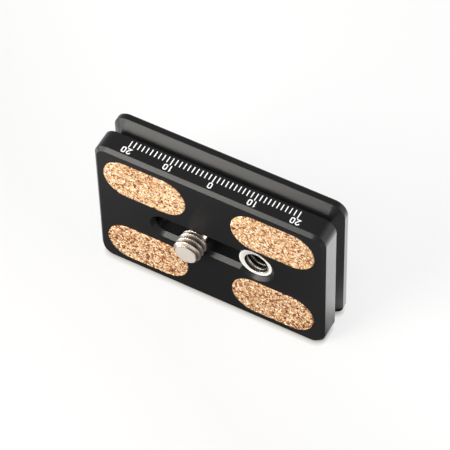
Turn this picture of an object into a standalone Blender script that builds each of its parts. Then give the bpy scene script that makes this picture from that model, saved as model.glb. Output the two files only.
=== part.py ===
"""Quick release plate for a camera, standing on one long edge as it was photographed.

Metres, +Z up. X runs along the plate, the camera face looks along -Y and the dovetail base along +Y.
The origin is the middle of the block's lower side wall, on the surface that the plate stands on.

Every piece is modelled in the plate's own frame, where X is the length, Y the width and Z the depth
below the camera face. An empty stands that frame on its edge. A second empty carries the camera
screw along the slot, and a third is the bail's pivot in the screw head.
"""
import math

import bmesh
import bpy

MM = 0.001

# Fits
GAP = 0.30 * MM                  # between pieces that sit on each other
NECK_CLEARANCE = 0.25 * MM       # screw neck to slot wall
RUNOUT_CLEARANCE = 0.375 * MM    # thread run-out to slot chamfer, measured across the slot
BUSH_CLEARANCE = 0.20 * MM       # bush to its hole
RING_CLEARANCE = 0.40 * MM       # folded bail to screw head
RECESS_CLEARANCE = 0.40 * MM     # folded bail to recess wall
PIN_CLEARANCE = 0.20 * MM        # bail ends to their holes

# Body
PLATE_LENGTH = 55.0 * MM
PLATE_WIDTH = 38.0 * MM
PLATE_THICKNESS = 11.0 * MM
CORNER_RADIUS = 3.2 * MM
FACE_CHAMFER = 0.8 * MM
BLOCK_DEPTH = 5.4 * MM           # camera face to the dovetail groove
GROOVE_FLAT = 1.0 * MM           # root wall of the groove
DOVETAIL_UNDERCUT = 2.9 * MM     # depth of the groove, and of its 45 degree flank
BASE_CHAMFER = 0.35 * MM

# Cork pads
PAD_LENGTH = 19.8 * MM
PAD_WIDTH = 10.8 * MM
PAD_THICKNESS = 1.2 * MM
PAD_PROUD = 0.2 * MM
PAD_END_MARGIN = 1.5 * MM        # pad to the short edge of the face
PAD_SIDE_MARGIN = 1.7 * MM       # pad to the long edge of the face

# Camera screw, a quarter inch with twenty threads to the inch
THREAD_DIAMETER = 6.35 * MM
TIP_CHAMFER = 0.65 * MM
SCREW_REACH = 4.2 * MM           # tip above the camera face
SCREW_X = -3.5 * MM
NECK_DIAMETER = 4.4 * MM
HEAD_DIAMETER = 15.0 * MM
HEAD_THICKNESS = 3.8 * MM
HEAD_CHAMFER = 0.4 * MM
HEAD_SINK = 0.6 * MM             # head below the dovetail base
COIN_SLOT_WIDTH = 1.6 * MM
COIN_SLOT_DEPTH = 1.4 * MM

# Washer under the screw head
WASHER_DIAMETER = 12.0 * MM
WASHER_THICKNESS = 0.8 * MM

# Folding wire bail
WIRE_DIAMETER = 1.8 * MM
BEND_RADIUS = 1.1 * MM
PIN_LENGTH = 1.9 * MM            # bail end inside the head
PIVOT_COVER = 0.7 * MM           # folded bail below the head's outer face

# Slot, recess and bush
SLOT_HALF_SPAN = 11.0 * MM       # plate centre to the centre of each slot end
SLOT_CHAMFER = 0.95 * MM
RECESS_OVERRUN = 0.2 * MM        # recess end beyond the screw's last place
RECESS_CHAMFER = 0.4 * MM
BUSH_DIAMETER = 8.0 * MM
BUSH_BORE = 5.2 * MM
BUSH_LAND = 0.40 * MM            # flat ring on the bush's face
BUSH_SINK_DEPTH = 0.25 * MM      # fall of the bush's face from the flat ring to its bore
BUSH_RECESS = 0.78 * MM          # bush face below the camera face
BUSH_INSET = 0.25 * MM           # bush centre short of the slot end's centre

# Modelling
CORNER_STEPS = 8                 # facets in a corner of the plan
ROUND_STEPS = 48                 # facets in a full turn
WIRE_RESOLUTION = 3
BAIL_STEPS = 36
BEND_STEPS = 5
OVERCUT = 1.0 * MM               # how far a cutter runs past the surface that it opens
MERGE_DISTANCE = 0.001 * MM
SHARP_ANGLE = math.radians(30)

# Worked out from the sizes above
NECK_RADIUS = NECK_DIAMETER / 2
THREAD_RADIUS = THREAD_DIAMETER / 2
HEAD_RADIUS = HEAD_DIAMETER / 2
WIRE_RADIUS = WIRE_DIAMETER / 2
HEAD_BACK = PLATE_THICKNESS - HEAD_SINK
HEAD_FRONT = HEAD_BACK - HEAD_THICKNESS
WASHER_BACK = HEAD_FRONT - GAP
WASHER_FRONT = WASHER_BACK - WASHER_THICKNESS
WEB_THICKNESS = WASHER_FRONT - GAP
PIVOT_DEPTH = HEAD_BACK - PIVOT_COVER - WIRE_RADIUS
RING_RADIUS = HEAD_RADIUS + RING_CLEARANCE + WIRE_RADIUS
RECESS_HALF_WIDTH = RING_RADIUS + WIRE_RADIUS + RECESS_CLEARANCE
RECESS_HALF_SPAN = SLOT_HALF_SPAN + RECESS_OVERRUN
SLOT_HALF_WIDTH = NECK_RADIUS + NECK_CLEARANCE
BUSH_X = SLOT_HALF_SPAN - BUSH_INSET
PAD_X = PLATE_LENGTH / 2 - FACE_CHAMFER - PAD_END_MARGIN - PAD_LENGTH / 2
PAD_Y = PLATE_WIDTH / 2 - FACE_CHAMFER - PAD_SIDE_MARGIN - PAD_WIDTH / 2
WALL_MIDDLE = (FACE_CHAMFER + BLOCK_DEPTH) / 2


def clear_scene():
    for old in list(bpy.data.objects):
        bpy.data.objects.remove(old, do_unlink=True)


def material(name, colour, roughness, metallic):
    """A plain surface in the piece's own colour."""
    mat = bpy.data.materials.new(name)
    mat.use_nodes = True
    shader = mat.node_tree.nodes["Principled BSDF"]
    shader.inputs["Base Color"].default_value = (*colour, 1.0)
    shader.inputs["Roughness"].default_value = roughness
    shader.inputs["Metallic"].default_value = metallic
    return mat


def empty(name, location, rotation=(0.0, 0.0, 0.0), parent=None):
    holder = bpy.data.objects.new(name, None)
    holder.empty_display_size = 5 * MM
    holder.location = location
    holder.rotation_euler = rotation
    holder.parent = parent
    bpy.context.scene.collection.objects.link(holder)
    return holder


def add_object(name, data, parent, location=(0.0, 0.0, 0.0), mat=None):
    obj = bpy.data.objects.new(name, data)
    obj.location = location
    obj.parent = parent
    if mat is not None:
        data.materials.append(mat)
    bpy.context.scene.collection.objects.link(obj)
    return obj


def add_mesh(name, bm, parent, location=(0.0, 0.0, 0.0), mat=None):
    """Closes the bmesh into an object, faces outward, round stretches shaded smooth."""
    bmesh.ops.recalc_face_normals(bm, faces=bm.faces)
    mesh = bpy.data.meshes.new(name)
    bm.to_mesh(mesh)
    bm.free()
    mesh.shade_smooth()
    mesh.set_sharp_from_angle(angle=SHARP_ANGLE)
    return add_object(name, mesh, parent, location, mat)


def arc(centre_x, centre_y, radius, start, steps):
    """A quarter turn from the start angle, counterclockwise, both ends included."""
    angles = [start + math.pi / 2 * i / steps for i in range(steps + 1)]
    return [(centre_x + radius * math.cos(a), centre_y + radius * math.sin(a)) for a in angles]


def rounded_rectangle(half_x, half_y, radius):
    """Counterclockwise outline with four round corners."""
    x = half_x - radius
    y = half_y - radius
    corners = [(x, y, 0.0), (-x, y, math.pi / 2), (-x, -y, math.pi), (x, -y, 1.5 * math.pi)]
    return [point for cx, cy, start in corners for point in arc(cx, cy, radius, start, CORNER_STEPS)]


def inset_plan(inset):
    """The plate's plan moved inward by the inset, as a cutter that runs round it leaves it."""
    return rounded_rectangle(PLATE_LENGTH / 2 - inset, PLATE_WIDTH / 2 - inset, CORNER_RADIUS - inset)


def stadium(half_span, radius):
    """Two half circles joined by straight sides, the span measured between their centres."""
    steps = ROUND_STEPS // 4
    right = arc(half_span, 0.0, radius, -math.pi / 2, steps) + arc(half_span, 0.0, radius, 0.0, steps)[1:]
    left = [(-x, -y) for x, y in right]
    return right + left


def loft(name, sections, parent, location=(0.0, 0.0, 0.0), mat=None):
    """A closed solid through sections given as (depth, outline), all with as many points."""
    bm = bmesh.new()
    rings = [[bm.verts.new((x, y, depth)) for x, y in outline] for depth, outline in sections]
    for lower, upper in zip(rings, rings[1:]):
        for i in range(len(lower)):
            j = (i + 1) % len(lower)
            bm.faces.new((lower[i], lower[j], upper[j], upper[i]))
    bm.faces.new(rings[0])
    bm.faces.new(rings[-1])
    return add_mesh(name, bm, parent, location, mat)


def turned(name, profile, parent, location=(0.0, 0.0, 0.0), mat=None, closed=False):
    """A profile of (radius, depth) spun round the Z axis, from axis to axis or as a closed ring."""
    bm = bmesh.new()
    verts = [bm.verts.new((radius, 0.0, depth)) for radius, depth in profile]
    edges = [bm.edges.new(pair) for pair in zip(verts, verts[1:])]
    if closed:
        edges.append(bm.edges.new((verts[-1], verts[0])))
    bmesh.ops.spin(bm, geom=verts + edges, cent=(0, 0, 0), axis=(0, 0, 1),
                   angle=2 * math.pi, steps=ROUND_STEPS, use_merge=True)
    bmesh.ops.remove_doubles(bm, verts=bm.verts, dist=MERGE_DISTANCE)
    return add_mesh(name, bm, parent, location, mat)


def box(name, size, parent, location):
    bm = bmesh.new()
    bmesh.ops.create_cube(bm, size=1.0)
    bmesh.ops.scale(bm, vec=size, verts=bm.verts)
    return add_mesh(name, bm, parent, location)


def cut(target, cutter):
    """Takes the cutter away from the target and leaves the cutter as a wire guide."""
    cutter.hide_render = True
    cutter.display_type = "WIRE"
    step = target.modifiers.new("cut_" + cutter.name, "BOOLEAN")
    step.operation = "DIFFERENCE"
    step.solver = "EXACT"
    step.object = cutter


def slot_cutter(plate):
    """The through slot, with its wide chamfer at the camera face."""
    mouth = SLOT_HALF_WIDTH + SLOT_CHAMFER + OVERCUT
    return loft("slot_cutter", [
        (-OVERCUT, stadium(SLOT_HALF_SPAN, mouth)),
        (SLOT_CHAMFER, stadium(SLOT_HALF_SPAN, SLOT_HALF_WIDTH)),
        (WEB_THICKNESS + OVERCUT, stadium(SLOT_HALF_SPAN, SLOT_HALF_WIDTH)),
    ], plate)


def recess_cutter(plate):
    """The recess in the dovetail base, in which the screw head and its bail travel."""
    return loft("recess_cutter", [
        (WEB_THICKNESS, stadium(RECESS_HALF_SPAN, RECESS_HALF_WIDTH)),
        (PLATE_THICKNESS - RECESS_CHAMFER, stadium(RECESS_HALF_SPAN, RECESS_HALF_WIDTH)),
        (PLATE_THICKNESS + OVERCUT, stadium(RECESS_HALF_SPAN, RECESS_HALF_WIDTH + RECESS_CHAMFER + OVERCUT)),
    ], plate)


def bush_hole_cutter(plate):
    """The bush's hole at the slot's end, chamfered down to the bush's face."""
    hole = BUSH_DIAMETER / 2 + BUSH_CLEARANCE
    return turned("bush_hole_cutter", [
        (0.0, WEB_THICKNESS + OVERCUT),
        (hole, WEB_THICKNESS + OVERCUT),
        (hole, BUSH_RECESS),
        (hole + BUSH_RECESS + OVERCUT, -OVERCUT),
        (0.0, -OVERCUT),
    ], plate, (BUSH_X, 0.0, 0.0))


def pad_places():
    """Name and plan position of each cork pad. Plan Y points down when the plate stands."""
    return [
        ("cork_pad_upper_left", -PAD_X, -PAD_Y),
        ("cork_pad_upper_right", PAD_X, -PAD_Y),
        ("cork_pad_lower_left", -PAD_X, PAD_Y),
        ("cork_pad_lower_right", PAD_X, PAD_Y),
    ]


def build_body(plate):
    """One milled block: chamfered camera side, dovetail groove all round, flanged base."""
    flank_start = BLOCK_DEPTH + GROOVE_FLAT
    flank_end = flank_start + DOVETAIL_UNDERCUT
    body = loft("plate_body", [
        (0.0, inset_plan(FACE_CHAMFER)),
        (FACE_CHAMFER, inset_plan(0.0)),
        (BLOCK_DEPTH, inset_plan(0.0)),
        (BLOCK_DEPTH, inset_plan(DOVETAIL_UNDERCUT)),
        (flank_start, inset_plan(DOVETAIL_UNDERCUT)),
        (flank_end, inset_plan(0.0)),
        (PLATE_THICKNESS - BASE_CHAMFER, inset_plan(0.0)),
        (PLATE_THICKNESS, inset_plan(BASE_CHAMFER)),
    ], plate, mat=material("black_anodised", (0.022, 0.022, 0.023), 0.42, 0.6))
    cut(body, recess_cutter(plate))
    cut(body, slot_cutter(plate))
    cut(body, bush_hole_cutter(plate))
    pocket_depth = PAD_THICKNESS - PAD_PROUD + GAP
    for name, x, y in pad_places():
        outline = stadium((PAD_LENGTH - PAD_WIDTH) / 2, PAD_WIDTH / 2 + GAP)
        pocket = loft(name + "_pocket", [(-OVERCUT, outline), (pocket_depth, outline)], plate, (x, y, 0.0))
        cut(body, pocket)
    return body


def build_pads(plate):
    """Four cork inlays with round ends, a little proud of the camera face."""
    cork = material("cork", (0.83, 0.64, 0.40), 0.9, 0.0)
    outline = stadium((PAD_LENGTH - PAD_WIDTH) / 2, PAD_WIDTH / 2)
    for name, x, y in pad_places():
        loft(name, [(-PAD_PROUD, outline), (PAD_THICKNESS - PAD_PROUD, outline)], plate, (x, y, 0.0), cork)


def build_bush(plate):
    """Steel bush with a threaded bore, flush with the recess floor at its back."""
    outer = BUSH_DIAMETER / 2
    bore = BUSH_BORE / 2
    turned("thread_bush", [
        (bore, BUSH_RECESS + BUSH_SINK_DEPTH),
        (outer - BUSH_LAND, BUSH_RECESS),
        (outer, BUSH_RECESS),
        (outer, WEB_THICKNESS),
        (bore, WEB_THICKNESS),
    ], plate, (BUSH_X, 0.0, 0.0), material("bush_steel", (0.78, 0.76, 0.73), 0.25, 1.0), closed=True)


def build_washer(carriage):
    """Flat washer between the screw head and the floor of the recess."""
    bore = NECK_RADIUS + GAP
    outer = WASHER_DIAMETER / 2
    turned("head_washer", [
        (bore, WASHER_FRONT),
        (outer, WASHER_FRONT),
        (outer, WASHER_BACK),
        (bore, WASHER_BACK),
    ], carriage, mat=material("washer_steel", (0.60, 0.60, 0.60), 0.35, 1.0), closed=True)


def build_screw(carriage):
    """Camera screw: threaded end, thin neck that keeps it in the slot, slotted round head."""
    mouth = SLOT_HALF_WIDTH + SLOT_CHAMFER
    runout_start = mouth - RUNOUT_CLEARANCE - THREAD_RADIUS
    runout_end = mouth - RUNOUT_CLEARANCE - NECK_RADIUS
    screw = turned("camera_screw", [
        (0.0, -SCREW_REACH),
        (THREAD_RADIUS - TIP_CHAMFER, -SCREW_REACH),
        (THREAD_RADIUS, -SCREW_REACH + TIP_CHAMFER),
        (THREAD_RADIUS, runout_start),
        (NECK_RADIUS, runout_end),
        (NECK_RADIUS, HEAD_FRONT),
        (HEAD_RADIUS - HEAD_CHAMFER, HEAD_FRONT),
        (HEAD_RADIUS, HEAD_FRONT + HEAD_CHAMFER),
        (HEAD_RADIUS, HEAD_BACK - HEAD_CHAMFER),
        (HEAD_RADIUS - HEAD_CHAMFER, HEAD_BACK),
        (0.0, HEAD_BACK),
    ], carriage, mat=material("screw_steel", (0.78, 0.76, 0.73), 0.22, 1.0))
    coin_slot = box("coin_slot_cutter", (COIN_SLOT_WIDTH, HEAD_DIAMETER + OVERCUT, 2 * COIN_SLOT_DEPTH),
                    carriage, (0.0, 0.0, HEAD_BACK))
    cut(screw, coin_slot)
    hole = WIRE_RADIUS + PIN_CLEARANCE
    hole_depth = PIN_LENGTH + GAP
    for side, name in ((-1, "pin_hole_left_cutter"), (1, "pin_hole_right_cutter")):
        drill = turned(name, [
            (0.0, -hole_depth),
            (hole, -hole_depth),
            (hole, OVERCUT),
            (0.0, OVERCUT),
        ], carriage, (side * HEAD_RADIUS, 0.0, PIVOT_DEPTH))
        drill.rotation_euler = (0.0, side * math.pi / 2, 0.0)
        cut(screw, drill)


def bail_path():
    """Half of the bail's centre line, from the end inside the head to the crown, pivot along X."""
    bend_x = math.sqrt((RING_RADIUS - BEND_RADIUS) ** 2 - BEND_RADIUS ** 2)
    ring_start = math.atan2(BEND_RADIUS, bend_x)
    path = [(HEAD_RADIUS - PIN_LENGTH, 0.0)]
    for i in range(BEND_STEPS + 1):
        turn = (math.pi / 2 + ring_start) * i / BEND_STEPS
        path.append((bend_x + BEND_RADIUS * math.sin(turn), BEND_RADIUS - BEND_RADIUS * math.cos(turn)))
    half_steps = BAIL_STEPS // 2
    for i in range(1, half_steps + 1):
        turn = ring_start + (math.pi / 2 - ring_start) * i / half_steps
        path.append((RING_RADIUS * math.cos(turn), RING_RADIUS * math.sin(turn)))
    return path


def build_bail(pivot):
    """Wire bail round the screw head, its two ends bent into the head. It hangs at rest."""
    right = bail_path()
    left = [(-x, y) for x, y in reversed(right[:-1])]
    points = right + left
    curve = bpy.data.curves.new("d_ring", "CURVE")
    curve.dimensions = "3D"
    curve.bevel_depth = WIRE_RADIUS
    curve.bevel_resolution = WIRE_RESOLUTION
    curve.use_fill_caps = True
    wire = curve.splines.new("POLY")
    wire.points.add(len(points) - 1)
    for point, (x, y) in zip(wire.points, points):
        point.co = (x, y, 0.0, 1.0)
    wire.use_smooth = True
    add_object("d_ring", curve, pivot, mat=material("bail_steel", (0.72, 0.71, 0.69), 0.25, 1.0))


def main():
    clear_scene()
    standing = (-math.pi / 2, 0.0, 0.0)
    plate = empty("plate_frame", (0.0, -WALL_MIDDLE, PLATE_WIDTH / 2), standing)
    carriage = empty("screw_carriage", (SCREW_X, 0.0, 0.0), parent=plate)
    pivot = empty("bail_pivot", (0.0, 0.0, PIVOT_DEPTH), parent=carriage)
    build_body(plate)
    build_pads(plate)
    build_bush(plate)
    build_washer(carriage)
    build_screw(carriage)
    build_bail(pivot)


main()
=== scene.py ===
import math

import bmesh
import bpy
from mathutils import Matrix, Vector, noise


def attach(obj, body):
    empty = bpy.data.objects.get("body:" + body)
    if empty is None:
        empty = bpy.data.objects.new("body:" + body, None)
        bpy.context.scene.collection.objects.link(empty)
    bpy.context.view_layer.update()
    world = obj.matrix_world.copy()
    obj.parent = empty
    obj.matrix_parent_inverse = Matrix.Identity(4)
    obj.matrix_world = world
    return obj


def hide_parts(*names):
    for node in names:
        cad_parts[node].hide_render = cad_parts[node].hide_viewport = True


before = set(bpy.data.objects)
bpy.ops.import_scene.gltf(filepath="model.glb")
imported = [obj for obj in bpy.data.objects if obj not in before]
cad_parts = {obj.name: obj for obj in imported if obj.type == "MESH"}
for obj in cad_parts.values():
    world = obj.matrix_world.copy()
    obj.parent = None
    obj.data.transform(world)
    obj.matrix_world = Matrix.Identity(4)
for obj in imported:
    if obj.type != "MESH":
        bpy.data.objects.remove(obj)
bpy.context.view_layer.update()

# Looks of the quick release plate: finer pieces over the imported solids, materials, studio and camera.
# Every piece is modelled in the plate's own frame, where X is the length, Y the width and Z the depth
# below the camera face. PLATE_FRAME stands it on its edge. Sizes are in metres.
MM = 0.001

# Body
PLATE_LENGTH = 55.0 * MM
PLATE_WIDTH = 38.0 * MM
PLATE_THICKNESS = 11.0 * MM
CORNER_RADIUS = 3.2 * MM
FACE_CHAMFER = 0.8 * MM
BLOCK_DEPTH = 5.4 * MM
GROOVE_FLAT = 1.0 * MM
DOVETAIL_UNDERCUT = 2.9 * MM
BASE_CHAMFER = 0.35 * MM
EDGE_BREAK = 0.07 * MM           # rounding of a milled edge
GROOVE_FILLET = 0.18 * MM        # rounding at the root of the groove
WALL_MIDDLE = (FACE_CHAMFER + BLOCK_DEPTH) / 2

# Slot, recess and bush hole
NECK_RADIUS = 2.2 * MM
NECK_PLAY = 0.25 * MM
SLOT_HALF_WIDTH = NECK_RADIUS + NECK_PLAY
SLOT_HALF_SPAN = 11.0 * MM
SLOT_CHAMFER = 0.95 * MM
WEB_THICKNESS = 5.2 * MM
RECESS_HALF_SPAN = 11.2 * MM
RECESS_HALF_WIDTH = 10.1 * MM
RECESS_CHAMFER = 0.4 * MM
RECESS_FILLET = 0.5 * MM
BUSH_X = SLOT_HALF_SPAN - 0.25 * MM
BUSH_RADIUS = 4.03 * MM
BUSH_HOLE_RADIUS = 4.07 * MM
BUSH_RECESS = 0.80 * MM
BUSH_LAND = 0.38 * MM
BUSH_SINK_DEPTH = 0.25 * MM
BUSH_SINK_ROWS = 24
BUSH_BACK_CHAMFER = 0.4 * MM
BUSH_BACK_ROWS = 6
BUSH_FILLETS = [0.1 * MM, 0.16 * MM, 0.05 * MM]    # back, rim and the land's inner edge

# Cork
PAD_LENGTH = 19.8 * MM
PAD_WIDTH = 10.8 * MM
PAD_THICKNESS = 1.2 * MM
PAD_PROUD = 0.2 * MM
PAD_HALF_SPAN = (PAD_LENGTH - PAD_WIDTH) / 2
PAD_GAP = 0.06 * MM
PAD_X = 15.3 * MM
PAD_Y = 11.1 * MM
PAD_ROUNDING = 0.12 * MM
PAD_RELIEF = 0.035 * MM          # height of the granules
GRANULES_PER_MM = 1.9
FINE_GRANULES_PER_MM = 4.3
FINE_GRANULE_HEIGHT = 0.6        # as a share of the granules' height
PAD_RINGS = 26

# Camera screw
SCREW_X = -3.5 * MM
THREAD_RADIUS = 3.175 * MM
THREAD_PITCH = 1.27 * MM
THREAD_DEPTH = 0.6134 * THREAD_PITCH
THREAD_CREST = THREAD_PITCH / 16  # half of the flat on a crest
THREAD_SLOPE = math.tan(math.radians(60))
THREAD_START = math.radians(35)   # turns the thread to where the photographed groove begins
THREAD_PLAY = 0.08 * MM           # between the bush's thread and a screw's
THREAD_FADE = 0.5 * THREAD_PITCH  # length over which the thread runs out
BUSH_BORE_RADIUS = THREAD_RADIUS - THREAD_DEPTH + 0.15 * MM
TIP_CHAMFER = 0.65 * MM
TIP_FILLET = 0.15 * MM
SCREW_REACH = 4.2 * MM
RUNOUT_START = -0.15 * MM
RUNOUT_END = RUNOUT_START + THREAD_RADIUS - NECK_RADIUS
NECK_FILLET = 0.25 * MM
HEAD_RADIUS = 7.5 * MM
HEAD_FRONT = 6.6 * MM
HEAD_BACK = 10.4 * MM
HEAD_CHAMFER = 0.4 * MM
COIN_SLOT_WIDTH = 1.6 * MM
COIN_SLOT_DEPTH = 1.4 * MM
THREAD_ROW = 0.035 * MM          # spacing of the rows that carry a thread
THREAD_COLUMNS = 144
SAME_ROW = 0.01 * MM              # rows closer than this count as one radius

# Washer and bail
WASHER_FRONT = 5.5 * MM
WASHER_BACK = 6.3 * MM
WASHER_RADIUS = 6.0 * MM
WASHER_BORE = 2.5 * MM
WIRE_RADIUS = 0.9 * MM
WIRE_RESOLUTION = 8
RING_RADIUS = 8.8 * MM
BEND_RADIUS = 1.1 * MM
BEND_STEPS = 14
RING_STEPS = 48
PIN_LENGTH = 1.9 * MM
PIVOT_DEPTH = 8.8 * MM
PIN_HOLE_RADIUS = WIRE_RADIUS + 0.2 * MM
PIN_HOLE_EXTRA = 0.3 * MM        # its depth beyond the pin's end
PIN_COLUMNS = 48

# Scale
TICKS_EACH_SIDE = 20
TICKS_PER_NUMBER = 10
TICK_ZERO_X = -0.36 * MM
TICK_PITCH = 1.0 * MM
TICK_WIDTH = 0.23 * MM
TICK_NEAR_DEPTH = 3.15 * MM
LONG_TICK_NEAR_DEPTH = 2.8 * MM
TICK_FAR_DEPTH = 4.75 * MM
DIGIT_HEIGHT = 1.52 * MM
DIGIT_WIDTH = 0.98 * MM
DIGIT_GAP = 0.27 * MM
DIGIT_STROKE = 0.25 * MM
DIGIT_CORNER = 0.27 * MM
DIGIT_CORNER_STEPS = 4
ONE_STEM_SHIFT = 0.08 * MM       # of the 1's stem from the middle
ONE_FLAG = (0.24 * MM, 0.20 * MM)  # how far the 1's flag reaches, across and down
TWO_HOOK = 0.38 * MM             # how far down the 2 begins
TWO_WAIST = 0.6                  # height at which its slant begins, as a share
DIGIT_BASE_DEPTH = 2.72 * MM
INK_HEIGHT = 0.012 * MM
SHARPEST_MITRE = 0.45            # least cosine by which a stroke's corner is stretched

OVERCUT = 1.0 * MM               # how far a cutter runs past the face that it opens
LEAD_IN = 1.0 * MM               # length of a profile's first and last line, before its corners
MOUTH_LIFT = 0.002 * MM          # keeps a cutter's rounded edge off the face itself
CORNER_STEPS = 20
ROUND_STEPS = 128
SHARP_ANGLE = math.radians(35)

STANDING = Matrix.Rotation(-math.pi / 2, 4, "X")
PLATE_FRAME = Matrix.Translation((0.0, -WALL_MIDDLE, PLATE_WIDTH / 2)) @ STANDING


def fillet(points, radii, steps=3):
    """A polyline of (a, b) points with its inner corners rounded, each by its own radius."""
    out = [tuple(points[0])]
    for before, corner, after, radius in zip(points, points[1:], points[2:], radii):
        corner = Vector(corner)
        back = (Vector(before) - corner).normalized()
        onward = (Vector(after) - corner).normalized()
        half = back.angle(onward) / 2
        centre = corner + (back + onward).normalized() * (radius / math.sin(half))
        start = (corner + back * (radius / math.tan(half)) - centre).normalized()
        end = (corner + onward * (radius / math.tan(half)) - centre).normalized()
        side = (end - start * end.dot(start)).normalized()
        turn = math.pi - 2 * half
        for i in range(steps + 1):
            angle = turn * i / steps
            out.append(tuple(centre + radius * (start * math.cos(angle) + side * math.sin(angle))))
    out.append(tuple(points[-1]))
    return out


def arc(centre_x, centre_y, radius, start, steps):
    """A quarter turn from the start angle."""
    angles = [start + math.pi / 2 * i / steps for i in range(steps + 1)]
    return [(centre_x + radius * math.cos(a), centre_y + radius * math.sin(a)) for a in angles]


def plan(inset):
    """The plate's plan moved inward by the inset, counterclockwise, with its round corners."""
    radius = CORNER_RADIUS - inset
    x = PLATE_LENGTH / 2 - inset - radius
    y = PLATE_WIDTH / 2 - inset - radius
    corners = [(x, y, 0.0), (-x, y, math.pi / 2), (-x, -y, math.pi), (x, -y, 1.5 * math.pi)]
    return [point for cx, cy, start in corners for point in arc(cx, cy, radius, start, CORNER_STEPS)]


def stadium(half_span, radius, steps=ROUND_STEPS // 4):
    """An outline with two straight sides and round ends."""
    right = arc(half_span, 0.0, radius, -math.pi / 2, steps) + arc(half_span, 0.0, radius, 0.0, steps)[1:]
    return right + [(-x, -y) for x, y in right]


def finished(name, bm, local=Matrix.Identity(4), mat=None):
    """The bmesh as an object that stands with the plate, its faces outward."""
    bmesh.ops.recalc_face_normals(bm, faces=bm.faces)
    mesh = bpy.data.meshes.new(name)
    bm.to_mesh(mesh)
    bm.free()
    mesh.shade_smooth()
    mesh.set_sharp_from_angle(angle=SHARP_ANGLE)
    obj = bpy.data.objects.new(name, mesh)
    obj.matrix_world = PLATE_FRAME @ local
    if mat is not None:
        mesh.materials.append(mat)
    bpy.context.scene.collection.objects.link(obj)
    return obj


def join_rings(bm, rings, closed=False):
    """Faces from each ring of vertices to the next; at a ring that is one point they are triangles."""
    pairs = list(zip(rings, rings[1:]))
    if closed:
        pairs.append((rings[-1], rings[0]))
    for lower, upper in pairs:
        for i in range(len(lower)):
            j = (i + 1) % len(lower)
            corners = [lower[i], lower[j], upper[j], upper[i]]
            bm.faces.new(list(dict.fromkeys(corners)))


def loft(name, sections, local=Matrix.Identity(4), mat=None):
    """A closed solid through sections given as (depth, outline)."""
    bm = bmesh.new()
    rings = [[bm.verts.new((x, y, depth)) for x, y in outline] for depth, outline in sections]
    join_rings(bm, rings)
    bm.faces.new(rings[0])
    bm.faces.new(rings[-1])
    return finished(name, bm, local, mat)


def turned(name, rows, local=Matrix.Identity(4), mat=None, closed=False, columns=ROUND_STEPS, radius=None):
    """A solid of revolution through (radius, depth) rows, from axis to axis or as a closed ring.

    radius(angle, depth, nominal) may change a row's radius round the turn, which cuts a thread.
    """
    bm = bmesh.new()
    rings = []
    for nominal, depth in rows:
        if nominal == 0.0:
            rings.append([bm.verts.new((0.0, 0.0, depth))] * columns)
            continue
        ring = []
        for i in range(columns):
            angle = 2 * math.pi * i / columns
            r = radius(angle, depth, nominal) if radius else nominal
            ring.append(bm.verts.new((r * math.cos(angle), r * math.sin(angle), depth)))
        rings.append(ring)
    join_rings(bm, rings, closed)
    return finished(name, bm, local, mat)


def carved(target, cutters):
    """Takes the cutters away from the target for good and evens the shading of its flat faces."""
    for cutter in cutters:
        cut = target.modifiers.new("cut", "BOOLEAN")
        cut.operation = "DIFFERENCE"
        cut.solver = "EXACT"
        cut.object = cutter
    depsgraph = bpy.context.evaluated_depsgraph_get()
    mesh = bpy.data.meshes.new_from_object(target.evaluated_get(depsgraph))
    target.modifiers.clear()
    target.data = mesh
    for cutter in cutters:
        bpy.data.objects.remove(cutter, do_unlink=True)
    mesh.shade_smooth()
    mesh.set_sharp_from_angle(angle=SHARP_ANGLE)
    even_shading(target)
    return target


def even_shading(obj):
    """Lets large flat faces set the normals of the small rounded edges beside them."""
    weighting = obj.modifiers.new("even_shading", "WEIGHTED_NORMAL")
    weighting.mode = "FACE_AREA"
    weighting.keep_sharp = True


def opening(mouth_points, radii):
    """A cutter's (radius, depth) profile with rounded edges, run past the face at depth zero."""
    profile = fillet(mouth_points, radii)[1:]
    edge = profile[0][0]
    return [(edge + OVERCUT, -OVERCUT), (edge, -MOUTH_LIFT)] + profile[1:]


# Materials. A texture's scale is in features a metre, and colours are linear.

BLACK = (0.0062, 0.0062, 0.0070, 1.0)
BLACK_ROUGHNESS = (0.27, 0.41)            # on the smoothest and the roughest cutter mark
FACE_NORMAL = (0.85, 0.97)                # a face's normal along the depth, from sloping to square
FACE_ROUGHNESS = 0.12                     # added on the large flat faces
LONG_SIDE_MARKS = (260.0, 7000.0, 7000.0)
END_MARKS = (7000.0, 260.0, 7000.0)
GRAIN_SCALE = 9000.0
GRAIN_BUMP = 0.004 * MM

CORK_DRIFT_SCALE = 1800.0
CORK_DRIFT = (0.35 * MM, 0.35 * MM, 0.35 * MM)
GRANULE_SCALE = 1500.0
FLECK_SCALE = 3300.0
SPECK_SCALE = 2400.0
FLECK_SHARE = 0.62
GRANULE_TONES = [
    (0.0, (0.24, 0.095, 0.038)),
    (0.22, (0.50, 0.250, 0.105)),
    (0.55, (0.72, 0.440, 0.215)),
    (0.80, (0.92, 0.680, 0.410)),
    (1.0, (1.00, 0.880, 0.660)),
]
FLECK_TONES = [
    (0.0, (0.20, 0.075, 0.028)),
    (0.14, (0.30, 0.120, 0.045)),
    (0.25, (0.56, 0.270, 0.105)),
    (0.62, (0.80, 0.480, 0.225)),
    (0.72, (1.00, 0.860, 0.620)),
    (1.0, (1.00, 0.960, 0.800)),
]
SPECK_TONES = [(0.13, (0.34, 0.17, 0.10)), (0.22, (1.0, 1.0, 1.0))]
SEAM_TONES = [(0.0, (0.55, 0.42, 0.34)), (0.09, (1.0, 1.0, 1.0))]
LOWER_PADS_SHADE_SPECKS = -0.11                 # added to the specks' tone; less makes more of them dark, as painted shade
UPPER_PADS_SHADE_SPECKS = 0.02
SHADE_SPECKS_TURN = (4 * MM, -4 * MM)           # from the lower pads' specks to the upper pads'
CORK_BUMP = 0.10 * MM

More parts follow.
